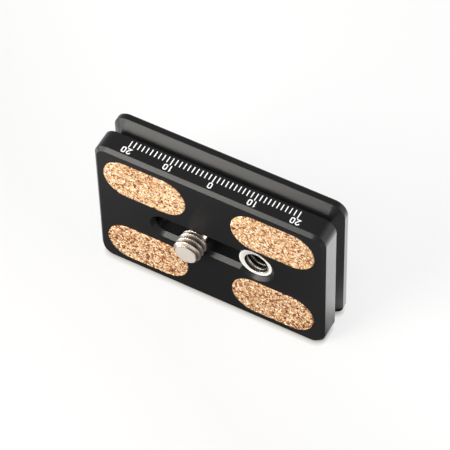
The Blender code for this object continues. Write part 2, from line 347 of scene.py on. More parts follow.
TURNED_SCALE = 9000.0
RINGS_SCALE = 2600.0
RINGS_SHADE = 0.91                        # darkest ring, as a share of the colour
FRONT_NORMAL = (-0.925, -0.985)           # a face's normal along the depth, from side to front
SCREW_GROOVE_SHADE_COLOUR = (0.12, 0.080, 0.058)
BORE_SHADE_COLOUR = (0.072, 0.058, 0.043)
# Painted shade in the screw's grooves and the bush's bore: what the steel's colour darkens over, from
# bright to dark
SCREW_GROOVE_SHADE_DEPTHS = (0.14 * THREAD_DEPTH, 1.2 * THREAD_DEPTH)                   # below the crest
BORE_GROOVE_SHADE_RADII = (BUSH_BORE_RADIUS - 0.07 * MM, BUSH_BORE_RADIUS + 0.16 * MM)
BORE_SHADE_DEPTHS = (1.2 * MM, 3.2 * MM)
BORE_MOUTH_SHADE_DEPTHS = (0.02 * MM, 0.10 * MM)                                        # below the countersink
BORE_SHADE_END = WEB_THICKNESS - 0.5 * MM

INK_TONES = [(0.25, (0.80, 0.80, 0.80)), (0.6, (0.95, 0.95, 0.95))]
INK_SPECK_SCALE = 14000.0


def new_material(name):
    """A material, its node tree and its shader."""
    mat = bpy.data.materials.new(name)
    mat.use_nodes = True
    tree = mat.node_tree
    return mat, tree, tree.nodes["Principled BSDF"]


def feed(tree, socket, value):
    """Links an output to the socket, or stores a plain value in it."""
    if isinstance(value, bpy.types.NodeSocket):
        tree.links.new(value, socket)
    else:
        socket.default_value = value


def put(tree, kind, **inputs):
    """A node of that kind with its inputs set by name."""
    node = tree.nodes.new(kind)
    for key, value in inputs.items():
        feed(tree, node.inputs[key.replace("_", " ")], value)
    return node


def numbered(tree, kind, values, **settings):
    """A node of that kind with its settings, and its inputs set by their numbers."""
    node = tree.nodes.new(kind)
    for key, value in settings.items():
        setattr(node, key, value)
    for index, value in values.items():
        feed(tree, node.inputs[index], value)
    return node


def math_node(tree, operation, *values):
    return numbered(tree, "ShaderNodeMath", dict(enumerate(values)), operation=operation).outputs[0]


def vector_math(tree, operation, *values):
    """The node; its result is its output Vector or Value."""
    return numbered(tree, "ShaderNodeVectorMath", dict(enumerate(values)), operation=operation)


def ranged(tree, value, start, end, low=0.0, high=1.0, smooth=False):
    """The value brought from start and end to low and high, and held there beyond them."""
    node = put(tree, "ShaderNodeMapRange", Value=value, From_Min=start, From_Max=end,
               To_Min=low, To_Max=high)
    if smooth:
        node.interpolation_type = "SMOOTHSTEP"
    return node.outputs[0]


def object_coordinates(tree):
    return tree.nodes.new("ShaderNodeTexCoord").outputs["Object"]


def split(tree, vector):
    """The three parts of a vector."""
    return put(tree, "ShaderNodeSeparateXYZ", Vector=vector).outputs


def surface_normal(tree):
    """The three parts of the normal in the object's own frame."""
    return split(tree, tree.nodes.new("ShaderNodeTexCoord").outputs["Normal"])


def noise_texture(tree, place, scale, detail):
    return put(tree, "ShaderNodeTexNoise", Vector=place, Scale=scale, Detail=detail).outputs[0]


def ramp(tree, value, stops):
    """A colour ramp over the value, with stops of (place, linear colour)."""
    node = tree.nodes.new("ShaderNodeValToRGB")
    elements = node.color_ramp.elements
    while len(elements) < len(stops):
        elements.new(0.5)
    for element, (place, colour) in zip(elements, stops):
        element.position = place
        element.color = (*colour, 1.0)
    tree.links.new(value, node.inputs[0])
    return node.outputs[0]


def mix_colour(tree, blend, factor, first, second):
    values = {0: factor, 6: first, 7: second}
    return numbered(tree, "ShaderNodeMix", values, data_type="RGBA", blend_type=blend).outputs[2]


def mix_shaders(tree, factor, first, second):
    return numbered(tree, "ShaderNodeMixShader", {0: factor, 1: first, 2: second}).outputs[0]


def diffuse(tree, grey):
    return put(tree, "ShaderNodeBsdfDiffuse", Color=(grey, grey, grey, 1.0)).outputs[0]


def bump(tree, shader, height, distance, strength):
    node = put(tree, "ShaderNodeBump", Height=height, Distance=distance, Strength=strength)
    tree.links.new(node.outputs[0], shader.inputs["Normal"])


def along(tree, place, stretch):
    """Noise drawn out along one axis, as a cutter's marks are; stretch is its scale on each axis."""
    return noise_texture(tree, vector_math(tree, "MULTIPLY", place, stretch).outputs[0], 1.0, 3.0)


def anodised():
    """Black anodised aluminium: a fine even grain, and faint cutter marks that run round the plate."""
    mat, tree, shader = new_material("anodised")
    place = object_coordinates(tree)
    shader.inputs["Base Color"].default_value = BLACK
    shader.inputs["Specular IOR Level"].default_value = 0.34
    shader.inputs["IOR"].default_value = 1.5
    normal = surface_normal(tree)
    on_end = math_node(tree, "GREATER_THAN", math_node(tree, "ABSOLUTE", normal[0]), 0.5)
    side_marks = {0: on_end, 2: along(tree, place, LONG_SIDE_MARKS), 3: along(tree, place, END_MARKS)}
    marks = numbered(tree, "ShaderNodeMix", side_marks).outputs[0]
    spread = ranged(tree, marks, 0.0, 1.0, *BLACK_ROUGHNESS)
    flat = ranged(tree, math_node(tree, "ABSOLUTE", normal[2]), *FACE_NORMAL, 0.0, FACE_ROUGHNESS)
    tree.links.new(math_node(tree, "ADD", spread, flat), shader.inputs["Roughness"])
    grain = noise_texture(tree, place, GRAIN_SCALE, 2.0)
    bump(tree, shader, math_node(tree, "MULTIPLY_ADD", marks, 0.5, grain), GRAIN_BUMP, 0.5)
    return mat


def cell_tones(tree, place, scale):
    """Three random values in each cell of a texture."""
    cells = put(tree, "ShaderNodeTexVoronoi", Vector=place, Scale=scale)
    return put(tree, "ShaderNodeSeparateColor", Color=cells.outputs["Color"]).outputs


def cork():
    """Pressed cork granules, from cream to dark brown, with the gaps between them.

    The lower pads have more dark specks, as photographed. The specks are the cork's own; that more of them
    are dark on the lower pads is painted shade, darker towards the bottom.
    """
    mat, tree, shader = new_material("cork")
    place = object_coordinates(tree)
    drift = put(tree, "ShaderNodeTexNoise", Vector=place, Scale=CORK_DRIFT_SCALE, Detail=2.0)
    warped = vector_math(tree, "MULTIPLY_ADD", drift.outputs["Color"], CORK_DRIFT, place).outputs[0]
    granule = ramp(tree, cell_tones(tree, warped, GRANULE_SCALE)[0], GRANULE_TONES)
    fleck = cell_tones(tree, warped, FLECK_SCALE)
    colour = mix_colour(tree, "MIX", FLECK_SHARE, granule, ramp(tree, fleck[1], FLECK_TONES))
    # Painted shade: more of the specks turn dark towards the lower pads
    down = split(tree, place)[1]
    painted_speck_shade = ranged(tree, down, *SHADE_SPECKS_TURN, LOWER_PADS_SHADE_SPECKS, UPPER_PADS_SHADE_SPECKS)
    speck = math_node(tree, "ADD", cell_tones(tree, warped, SPECK_SCALE)[0], painted_speck_shade)
    colour = mix_colour(tree, "MULTIPLY", 1.0, colour, ramp(tree, speck, SPECK_TONES))
    gap = put(tree, "ShaderNodeTexVoronoi", Vector=warped, Scale=GRANULE_SCALE)
    gap.feature = "DISTANCE_TO_EDGE"
    from_edge = gap.outputs["Distance"]
    colour = mix_colour(tree, "MULTIPLY", 1.0, colour, ramp(tree, from_edge, SEAM_TONES))
    tree.links.new(colour, shader.inputs["Base Color"])
    shader.inputs["Roughness"].default_value = 0.85
    shader.inputs["Specular IOR Level"].default_value = 0.25
    bump(tree, shader, math_node(tree, "MULTIPLY_ADD", fleck[2], 0.5, from_edge), CORK_BUMP, 0.7)
    return mat


def steel(name, colour, roughness, marks, metallic=1.0, faced=0.0, painted_shade=None, dark=None):
    """Turned stainless steel: fine marks run round the piece's own axis.

    marks is their height. faced is how matte the flat end towards the camera is. The function given for
    painted shade takes (tree, reach, depth) and gives how far the steel turns to the dark colour, a painted
    shade, at that distance from the axis and depth.
    """
    mat, tree, shader = new_material(name)
    x, y, depth = split(tree, object_coordinates(tree))
    square = math_node(tree, "MULTIPLY_ADD", y, y, math_node(tree, "MULTIPLY", x, x))
    reach = math_node(tree, "SQRT", square)
    across = put(tree, "ShaderNodeCombineXYZ", X=reach, Y=depth).outputs[0]
    front = ranged(tree, surface_normal(tree)[2], *FRONT_NORMAL)
    tree.links.new(ranged(tree, front, 0.0, 1.0, metallic, metallic - faced), shader.inputs["Metallic"])
    rings = noise_texture(tree, across, RINGS_SCALE, 4.0)
    shade = ramp(tree, rings, [(0.35, tuple(RINGS_SHADE * c for c in colour)), (0.62, colour)])
    # Painted shade: the sides turn towards the dark colour
    if painted_shade:
        side = math_node(tree, "SUBTRACT", 1.0, front)
        painted_side_shade = math_node(tree, "MULTIPLY", painted_shade(tree, reach, depth), side)
        shade = mix_colour(tree, "MIX", painted_side_shade, shade, (*dark, 1.0))
    tree.links.new(shade, shader.inputs["Base Color"])
    turned_marks = noise_texture(tree, across, TURNED_SCALE, 3.0)
    spread = ranged(tree, turned_marks, 0.0, 1.0, roughness * 0.8, roughness * 1.2)
    tree.links.new(spread, shader.inputs["Roughness"])
    bump(tree, shader, turned_marks, marks, 0.6)
    return mat


def in_screw_thread(tree, reach, depth):
    """Painted shade in the thread's grooves: from none on a crest to full at the root, in front of the
    thread's runout.
    """
    blank = ranged(tree, depth, -SCREW_REACH, -SCREW_REACH + TIP_CHAMFER,
                   THREAD_RADIUS - TIP_CHAMFER, THREAD_RADIUS)
    below = math_node(tree, "SUBTRACT", blank, reach)
    dark = ranged(tree, below, *SCREW_GROOVE_SHADE_DEPTHS)
    return math_node(tree, "MULTIPLY", dark, math_node(tree, "LESS_THAN", depth, 0.0))


def in_bush_bore(tree, reach, depth):
    """Painted shade: dark in the grooves of the bush's thread and deep in its bore, where little light
    comes.
    """
    groove = ranged(tree, reach, *BORE_GROOVE_SHADE_RADII)
    dark = math_node(tree, "MAXIMUM", groove, ranged(tree, depth, *BORE_SHADE_DEPTHS))
    sink_end = BUSH_RECESS + BUSH_SINK_DEPTH
    inside = ranged(tree, depth, *[sink_end + below for below in BORE_MOUTH_SHADE_DEPTHS])
    bored = math_node(tree, "LESS_THAN", reach, BUSH_RADIUS - BUSH_LAND)
    before_back = math_node(tree, "LESS_THAN", depth, BORE_SHADE_END)
    within = math_node(tree, "MULTIPLY", inside, math_node(tree, "MULTIPLY", bored, before_back))
    return math_node(tree, "MULTIPLY", dark, within)


def ink():
    mat, tree, shader = new_material("scale_white")
    speck = noise_texture(tree, object_coordinates(tree), INK_SPECK_SCALE, 2.0)
    tree.links.new(ramp(tree, speck, INK_TONES), shader.inputs["Base Color"])
    shader.inputs["Roughness"].default_value = 0.7
    return mat


# Body

def build_block(mat):
    """The plate before it is opened: camera block, groove, dovetail flank and base."""
    flank_start = BLOCK_DEPTH + GROOVE_FLAT
    flank_end = flank_start + DOVETAIL_UNDERCUT
    side = fillet([
        (FACE_CHAMFER + LEAD_IN, 0.0),
        (FACE_CHAMFER, 0.0),
        (0.0, FACE_CHAMFER),
        (0.0, BLOCK_DEPTH),
        (DOVETAIL_UNDERCUT, BLOCK_DEPTH),
        (DOVETAIL_UNDERCUT, flank_start),
        (0.0, flank_end),
        (0.0, PLATE_THICKNESS - BASE_CHAMFER),
        (BASE_CHAMFER, PLATE_THICKNESS),
        (BASE_CHAMFER + LEAD_IN, PLATE_THICKNESS),
    ], [EDGE_BREAK] * 3 + [GROOVE_FILLET] * 2 + [EDGE_BREAK] * 3)
    return loft("body", [(depth, plan(inset)) for inset, depth in side[1:-1]], mat=mat)


def slot_cutter():
    mouth = SLOT_HALF_WIDTH + SLOT_CHAMFER
    side = opening([
        (mouth + LEAD_IN, 0.0),
        (mouth, 0.0),
        (SLOT_HALF_WIDTH, SLOT_CHAMFER),
        (SLOT_HALF_WIDTH, WEB_THICKNESS + OVERCUT),
    ], [EDGE_BREAK, EDGE_BREAK])
    return loft("slot", [(depth, stadium(SLOT_HALF_SPAN, radius)) for radius, depth in side])


def recess_cutter():
    side = fillet([
        (RECESS_HALF_WIDTH - LEAD_IN, WEB_THICKNESS),
        (RECESS_HALF_WIDTH, WEB_THICKNESS),
        (RECESS_HALF_WIDTH, PLATE_THICKNESS - RECESS_CHAMFER),
        (RECESS_HALF_WIDTH + RECESS_CHAMFER + OVERCUT, PLATE_THICKNESS + OVERCUT),
    ], [RECESS_FILLET, EDGE_BREAK])
    return loft("recess", [(depth, stadium(RECESS_HALF_SPAN, radius)) for radius, depth in side[1:]])


def bush_hole_cutter():
    mouth = BUSH_HOLE_RADIUS + BUSH_RECESS
    side = opening([
        (mouth + LEAD_IN, 0.0),
        (mouth, 0.0),
        (BUSH_HOLE_RADIUS, BUSH_RECESS),
        (BUSH_HOLE_RADIUS, WEB_THICKNESS + OVERCUT),
    ], [EDGE_BREAK, EDGE_BREAK])
    sections = [(depth, stadium(0.0, radius)[:-1]) for radius, depth in side]
    return loft("bush_hole", sections, Matrix.Translation((BUSH_X, 0.0, 0.0)))


def pocket_cutters():
    """One cutter for each cork inlay."""
    outer = PAD_WIDTH / 2 + PAD_GAP
    side = opening([
        (outer + LEAD_IN, 0.0),
        (outer, 0.0),
        (outer, PAD_THICKNESS - PAD_PROUD + PAD_GAP),
    ], [EDGE_BREAK])
    sections = [(depth, stadium(PAD_HALF_SPAN, radius)) for radius, depth in side]
    middles = [(x, y, 0.0) for x in (-PAD_X, PAD_X) for y in (-PAD_Y, PAD_Y)]
    return [loft("pocket", sections, Matrix.Translation(middle)) for middle in middles]


def build_body(mat):
    cutters = [recess_cutter(), slot_cutter(), bush_hole_cutter()] + pocket_cutters()
    return carved(build_block(mat), cutters)


def granule_rise(x, y):
    """Height of the cork's surface over its plane."""
    spot = Vector((x, y, 0.0)) / MM
    fine = FINE_GRANULE_HEIGHT * noise.noise(spot * FINE_GRANULES_PER_MM)
    return PAD_RELIEF * (noise.noise(spot * GRANULES_PER_MM) + fine)


def build_pad(name, x, y, mat):
    """A cork inlay whose top carries the relief of its granules."""
    outer = PAD_WIDTH / 2
    top_edge = PAD_ROUNDING - PAD_PROUD
    profile = [(outer, PAD_THICKNESS - PAD_PROUD), (outer, top_edge)]
    for i in range(PAD_RINGS):
        inward = (outer - 2 * PAD_ROUNDING) * i / (PAD_RINGS - 1)
        profile.append((outer - PAD_ROUNDING - inward, -PAD_PROUD))
    bm = bmesh.new()
    rings = []
    for radius, depth in profile:
        ring = []
        for px, py in stadium(PAD_HALF_SPAN, radius):
            rise = granule_rise(x + px, y + py) if depth < top_edge else 0.0
            ring.append(bm.verts.new((x + px, y + py, depth - rise)))
        rings.append(ring)
    join_rings(bm, rings)
    bm.faces.new(rings[0])
    bm.faces.new(rings[-1])
    return finished(name, bm, mat=mat)


def thread_height(angle, depth):
    """How far the thread's surface is below its crest, for a right-hand thread about the depth axis."""
    phase = (depth / THREAD_PITCH - (angle + THREAD_START) / (2 * math.pi)) % 1.0
    from_crest = abs(phase - 0.5) * THREAD_PITCH
    return min(max((from_crest - THREAD_CREST) * THREAD_SLOPE, 0.0), THREAD_DEPTH)


def spaced(start, end, step):
    """Values from start to end, both included, about a step apart."""
    count = max(1, round(abs(end - start) / step))
    return [start + (end - start) * i / count for i in range(count + 1)]


def build_bush(mat):
    """Steel bush, countersunk, with its inner thread."""
    bore = BUSH_BORE_RADIUS
    land = BUSH_RADIUS - BUSH_LAND
    sink_end = BUSH_RECESS + BUSH_SINK_DEPTH
    back_start = WEB_THICKNESS - BUSH_BACK_CHAMFER

    def bored(angle, depth, nominal):
        if nominal > land - SAME_ROW:
            return nominal
        return max(nominal, THREAD_RADIUS + THREAD_PLAY - thread_height(angle, depth))

    rows = fillet([
        (land + LEAD_IN, WEB_THICKNESS),
        (BUSH_RADIUS, WEB_THICKNESS),
        (BUSH_RADIUS, BUSH_RECESS),
        (land, BUSH_RECESS),
        (bore, sink_end),
    ], BUSH_FILLETS)[1:-1]
    for i in range(2, BUSH_SINK_ROWS + 1):
        inward = (bore - land) * i / BUSH_SINK_ROWS
        rows.append((land + inward, BUSH_RECESS + BUSH_SINK_DEPTH * i / BUSH_SINK_ROWS))
    rows += [(bore, depth) for depth in spaced(sink_end, back_start, THREAD_ROW)[1:]]
    for i in range(1, BUSH_BACK_ROWS + 1):
        outward = BUSH_BACK_CHAMFER * i / BUSH_BACK_ROWS
        rows.append((bore + outward, back_start + outward))
    return turned("bush", rows, Matrix.Translation((BUSH_X, 0.0, 0.0)), mat, closed=True,
                  columns=THREAD_COLUMNS, radius=bored)


def threaded(angle, depth, nominal):
    """Radius of the screw where its blank has the nominal one."""
    if depth > RUNOUT_END or nominal > THREAD_RADIUS + SAME_ROW:
        return nominal
    fade = min(1.0, max(0.0, (RUNOUT_END - depth) / THREAD_FADE))
    return min(nominal, THREAD_RADIUS - thread_height(angle, depth) * fade)


def screw_rows():
    """The screw's (radius, depth) rows from its tip to the back of its head."""
    tip_radius = THREAD_RADIUS - TIP_CHAMFER
    chamfer_end = -SCREW_REACH + TIP_CHAMFER
    rows = [(0.0, -SCREW_REACH), (tip_radius * 0.5, -SCREW_REACH)]
    rows += fillet([
        (tip_radius * 0.5, -SCREW_REACH),
        (tip_radius, -SCREW_REACH),
        (THREAD_RADIUS, chamfer_end),
    ], [TIP_FILLET], steps=5)[1:-1]
    chamfer_start = rows[-1][1]
    rows += [(tip_radius + depth + SCREW_REACH, depth)
             for depth in spaced(chamfer_start, chamfer_end, THREAD_ROW)[1:]]
    rows += [(THREAD_RADIUS, depth) for depth in spaced(chamfer_end, RUNOUT_START, THREAD_ROW)[1:]]
    rows += [(THREAD_RADIUS - (depth - RUNOUT_START), depth)
             for depth in spaced(RUNOUT_START, RUNOUT_END, THREAD_ROW)[1:]]
    rows += fillet([
        (NECK_RADIUS, RUNOUT_END),
        (NECK_RADIUS, HEAD_FRONT),
        (HEAD_RADIUS - HEAD_CHAMFER, HEAD_FRONT),
        (HEAD_RADIUS, HEAD_FRONT + HEAD_CHAMFER),
        (HEAD_RADIUS, HEAD_BACK - HEAD_CHAMFER),
        (HEAD_RADIUS - HEAD_CHAMFER, HEAD_BACK),
        (HEAD_RADIUS * 0.5, HEAD_BACK),
    ], [NECK_FILLET] + [EDGE_BREAK] * 4)[1:]
    return rows + [(0.0, HEAD_BACK)]


def coin_slot_cutter(place):
    half_width = COIN_SLOT_WIDTH / 2
    length = HEAD_RADIUS + OVERCUT
    outline = [(half_width, -length), (half_width, length), (-half_width, length), (-half_width, -length)]
    sections = [(HEAD_BACK - COIN_SLOT_DEPTH, outline), (HEAD_BACK + OVERCUT, outline)]
    return loft("coin_slot", sections, place)


def pin_hole_cutter(place, side):
    """A hole for one end of the bail, from the left side of the head (-1) or the right (1)."""
    bottom = -PIN_LENGTH - PIN_HOLE_EXTRA
    half_column = Matrix.Rotation(math.pi / PIN_COLUMNS, 4, "Z")    # keeps its corners off the head's own
    turn = Matrix.Rotation(side * math.pi / 2, 4, "Y") @ half_column
    local = place @ Matrix.Translation((side * HEAD_RADIUS, 0.0, PIVOT_DEPTH)) @ turn
    rows = [(0.0, bottom), (PIN_HOLE_RADIUS, bottom), (PIN_HOLE_RADIUS, OVERCUT), (0.0, OVERCUT)]
    return turned("pin_hole", rows, local, columns=PIN_COLUMNS)


def build_screw(mat):
    """Camera screw in one piece: thread, neck, head with its coin slot and the bail's two holes."""
    place = Matrix.Translation((SCREW_X, 0.0, 0.0))
    screw = turned("screw", screw_rows(), place, mat, columns=THREAD_COLUMNS, radius=threaded)
    return carved(screw, [coin_slot_cutter(place), pin_hole_cutter(place, -1), pin_hole_cutter(place, 1)])


def build_washer(mat):
    rows = fillet([
        (WASHER_BORE + LEAD_IN, WASHER_FRONT),
        (WASHER_RADIUS, WASHER_FRONT),
        (WASHER_RADIUS, WASHER_BACK),
        (WASHER_BORE, WASHER_BACK),
        (WASHER_BORE, WASHER_FRONT),
        (WASHER_BORE + LEAD_IN, WASHER_FRONT),
    ], [EDGE_BREAK] * 4)[1:-1]
    washer = turned("washer", rows, Matrix.Translation((SCREW_X, 0.0, 0.0)), mat, closed=True)
    even_shading(washer)
    return washer


def bail_path():
    """Middle line of the wire, from one end inside the head round to the other."""
    bend_x = math.sqrt((RING_RADIUS - BEND_RADIUS) ** 2 - BEND_RADIUS ** 2)
    ring_start = math.atan2(BEND_RADIUS, bend_x)
    half = [(HEAD_RADIUS - PIN_LENGTH, 0.0)]
    for i in range(BEND_STEPS + 1):
        turn = (math.pi / 2 + ring_start) * i / BEND_STEPS
        half.append((bend_x + BEND_RADIUS * math.sin(turn), BEND_RADIUS - BEND_RADIUS * math.cos(turn)))
    for i in range(1, RING_STEPS + 1):
        turn = ring_start + (math.pi / 2 - ring_start) * i / RING_STEPS
        half.append((RING_RADIUS * math.cos(turn), RING_RADIUS * math.sin(turn)))
    return half + [(-x, y) for x, y in reversed(half[:-1])]


def build_bail(mat):
    """Wire bail round the head, its two ends bent into the head."""
    curve = bpy.data.curves.new("bail", "CURVE")
    curve.dimensions = "3D"
    curve.bevel_depth = WIRE_RADIUS
    curve.bevel_resolution = WIRE_RESOLUTION
    curve.use_fill_caps = True
    curve.materials.append(mat)
    points = bail_path()
    wire = curve.splines.new("POLY")
    wire.points.add(len(points) - 1)
    for point, (x, y) in zip(wire.points, points):
        point.co = (x, y, 0.0, 1.0)
    wire.use_smooth = True
    bail = bpy.data.objects.new("bail", curve)
    bail.matrix_world = PLATE_FRAME @ Matrix.Translation((SCREW_X, 0.0, PIVOT_DEPTH))
    bpy.context.scene.collection.objects.link(bail)
    return bail


# Scale

def digit_corner(x, y, start):
    return arc(x, y, DIGIT_CORNER, start, DIGIT_CORNER_STEPS)


def digit_path(digit):
    """Centre line of a 0, 1 or 2 in a box of DIGIT_WIDTH by DIGIT_HEIGHT, and whether it is closed."""
    half = DIGIT_STROKE / 2
    right = DIGIT_WIDTH - half
    top = DIGIT_HEIGHT - half
    if digit == "1":
        stem = DIGIT_WIDTH / 2 + ONE_STEM_SHIFT
        across, down = ONE_FLAG
        return [(stem - across, top - down), (stem, top), (stem, 0.0)], False
    top_left = digit_corner(half + DIGIT_CORNER, top - DIGIT_CORNER, math.pi / 2)
    top_right = digit_corner(right - DIGIT_CORNER, top - DIGIT_CORNER, 0.0)
    if digit == "2":
        hook = [(half, top - TWO_HOOK)] + top_left[::-1] + top_right[::-1]
        return hook + [(right, DIGIT_HEIGHT * TWO_WAIST), (half, half), (right + half, half)], False
    bottom_left = digit_corner(half + DIGIT_CORNER, half + DIGIT_CORNER, math.pi)
    bottom_right = digit_corner(right - DIGIT_CORNER, half + DIGIT_CORNER, 1.5 * math.pi)
    return top_right + top_left + bottom_left + bottom_right, True


def ink_stroke(bm, path, width, closed, place):
    """A flat raised band along the path. place turns (across, up) into plan X and depth."""
    count = len(path)
    bands = []
    for i, point in enumerate(path):
        here = Vector(point)
        before = Vector(path[i - 1]) if closed or i else here
        after = Vector(path[(i + 1) % count]) if closed or i < count - 1 else here
        first = (here - before).normalized() if here != before else (after - here).normalized()
        second = (after - here).normalized() if after != here else first
        normal = Vector((-(first + second).y, (first + second).x)).normalized()
        stretch = 1.0 / max(SHARPEST_MITRE, normal.dot(Vector((-first.y, first.x))))
        band = []
        for side in (-1, 1):
            x, depth = place(here + normal * (side * width / 2 * stretch))
            for out in (INK_HEIGHT, -INK_HEIGHT):
                band.append(bm.verts.new((x, -PLATE_WIDTH / 2 - out, depth)))
        bands.append(band)
    pairs = list(zip(bands, bands[1:]))
    if closed:
        pairs.append((bands[-1], bands[0]))
    else:
        bm.faces.new((bands[0][0], bands[0][1], bands[0][3], bands[0][2]))
        bm.faces.new((bands[-1][0], bands[-1][2], bands[-1][3], bands[-1][1]))
    for a, b in pairs:
        for i, j in ((0, 2), (2, 3), (3, 1), (1, 0)):
            bm.faces.new((a[i], a[j], b[j], b[i]))


def ink_number(bm, number, x):
    """The number's digits, centred on x."""
    label = str(number)
    total = len(label) * DIGIT_WIDTH + (len(label) - 1) * DIGIT_GAP
    for i, digit in enumerate(label):
        left = x + total / 2 - i * (DIGIT_WIDTH + DIGIT_GAP)
        path, closed = digit_path(digit)
        ink_stroke(bm, path, DIGIT_STROKE, closed, lambda p: (left - p[0], DIGIT_BASE_DEPTH - p[1]))


def build_scale(mat):
    """White ticks a millimetre apart and their numbers, on the plate's upper long side."""
    bm = bmesh.new()
    for k in range(-TICKS_EACH_SIDE, TICKS_EACH_SIDE + 1):
        x = TICK_ZERO_X + k * TICK_PITCH
        long = k % TICKS_PER_NUMBER == 0
        near = LONG_TICK_NEAR_DEPTH if long else TICK_NEAR_DEPTH
        ink_stroke(bm, [(x, near), (x, TICK_FAR_DEPTH)], TICK_WIDTH, False, tuple)
        if long:
            ink_number(bm, abs(k), x)
    bmesh.ops.recalc_face_normals(bm, faces=bm.faces)
    return finished("scale_marks", bm, mat=mat)


# The pieces and what they ride on

body = build_body(anodised())
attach(body, "plate")
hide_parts("plate_body")

cork_material = cork()
for node, x, y in (
    ("cork_pad_upper_left", -PAD_X, -PAD_Y),
    ("cork_pad_upper_right", PAD_X, -PAD_Y),
    ("cork_pad_lower_left", -PAD_X, PAD_Y),
    ("cork_pad_lower_right", PAD_X, PAD_Y),
):
    pad = build_pad(node.replace("cork_pad", "cork_inlay"), x, y, cork_material)
    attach(pad, "plate")
    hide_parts(node)

# The bush's bore carries painted shade.
bush_steel = steel("bush_steel", (1.0, 0.97, 0.93), roughness=0.26, marks=0.004 * MM, metallic=0.95,
                   faced=0.80, painted_shade=in_bush_bore, dark=BORE_SHADE_COLOUR)
bush = build_bush(bush_steel)
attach(bush, "plate")
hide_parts("thread_bush")

scale_marks = build_scale(ink())
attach(scale_marks, "plate")

washer_steel = steel("washer_steel", (0.60, 0.60, 0.60), roughness=0.32, marks=0.010 * MM)
washer = build_washer(washer_steel)
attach(washer, "carriage")
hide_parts("head_washer")

# The screw's thread grooves carry painted shade.
screw_steel = steel("screw_steel", (0.88, 0.80, 0.725), roughness=0.25, marks=0.010 * MM, metallic=0.95,
                    faced=0.50, painted_shade=in_screw_thread, dark=SCREW_GROOVE_SHADE_COLOUR)
screw = build_screw(screw_steel)
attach(screw, "screw")
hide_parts("camera_screw")

bail_steel = steel("bail_steel", (0.72, 0.71, 0.69), roughness=0.24, marks=0.004 * MM)
bail = build_bail(bail_steel)
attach(bail, "bail")
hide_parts("d_ring")


# Studio

FLOOR_HALF_SIZE = 4.0
FLOOR_FRONT = 0.70                     # painted light: what the floor shows of itself to the camera, before the plate
FLOOR_BACK = 0.81                      # and behind it, brighter over the shadow that the lamps cast there
FLOOR_TURN = (-20 * MM, 33 * MM)       # places of front and back
FLOOR_LIT = 0.19                       # share of the light on it that it shows, which carries the shadow
FLOOR_BOUNCE = 0.22                    # share of the light on it that it gives back to the plate
CONTACT_REACH = 1.35 * MM              # width of the painted contact shadow, a darker band where the plate stands
CONTACT_FRONT = 0.5                    # share of itself that the floor shows at the foot, before the plate
CONTACT_BACK = 0.1                     # and beside and behind it
CONTACT_TURN = (-5 * MM, -2 * MM)      # places of front and back
CONTACT_SHADOW_TINT = [(0.3, (1.0, 0.94, 0.84)), (1.0, (1.0, 1.0, 1.0))]
MIRRORED_FRONT = 0.14                  # painted glow of the floor as the plate mirrors it, in front of the plate
MIRRORED_ENDS = 0.38                   # in front of its two ends
MIRRORED_ENDS_TURN = (12 * MM, 40 * MM)    # distances from the middle, of front and ends
MIRRORED_NEAR = 0.75                   # behind it
MIRRORED_FAR = 1.05                    # far away on all sides
MIRRORED_FAR_TURN = (60 * MM, 160 * MM)    # distances of near and far
MIRRORED_BEHIND = (-2 * MM, 7 * MM)    # where the front changes to behind, at the plate
MIRRORED_OPEN = (44 * MM, 80 * MM)     # distances over which the front becomes as bright as behind
MIRRORED_SPOTS = (                     # brighter and darker places on it, painted light and one painted shade near the foot of the plate's right end: place, radius and added level
    ((36 * MM, 15 * MM, 0.0), 29 * MM, 1.9),
    ((-88 * MM, -34 * MM, 0.0), 46 * MM, 2.2),
    ((95 * MM, 50 * MM, 0.0), 70 * MM, 2.2),
    ((25.3 * MM, 5.4 * MM, 0.0), 4.8 * MM, -3.0),
)
MIRRORED_COLOUR = (1.0, 0.995, 0.985, 1.0)
SKY_GLOW = (0.856, 0.517, 0.02)        # brighter side of the surroundings, mirrored by the right corners
SKY_GLOW_EDGE = 0.62                   # cosine of the angle from it at which it fades out
SKY_GLOW_ADDED = 1.7
WHITE = (1.0, 1.0, 1.0, 1.0)


def floor_spot(tree, coordinates, middle, radius, added):
    """A round place on the floor with a soft edge."""
    distance = vector_math(tree, "DISTANCE", coordinates, middle).outputs["Value"]
    return ranged(tree, distance, radius, radius / 2, 0.0, added, smooth=True)


def mirrored_level(tree, coordinates):
    """How bright the floor's painted glow is in reflections: darker before the plate and brighter behind
    its right end.
    """
    x, y, _ = split(tree, coordinates)
    distance = vector_math(tree, "LENGTH", coordinates).outputs["Value"]
    bright = ranged(tree, distance, *MIRRORED_FAR_TURN, MIRRORED_NEAR, MIRRORED_FAR)
    for spot in MIRRORED_SPOTS:
        bright = math_node(tree, "ADD", bright, floor_spot(tree, coordinates, *spot))
    bright = math_node(tree, "MAXIMUM", bright, 0.0)
    front = ranged(tree, math_node(tree, "ABSOLUTE", x), *MIRRORED_ENDS_TURN, MIRRORED_FRONT, MIRRORED_ENDS)
    beyond_end = math_node(tree, "MAXIMUM", math_node(tree, "SUBTRACT", x, PLATE_LENGTH / 2), 0.0)
    slanted = math_node(tree, "MULTIPLY_ADD", beyond_end, -0.5, y)
    behind = ranged(tree, slanted, *MIRRORED_BEHIND, smooth=True)
    open_floor = math_node(tree, "MAXIMUM", behind, ranged(tree, distance, *MIRRORED_OPEN))
    return ranged(tree, open_floor, 0.0, 1.0, front, bright)


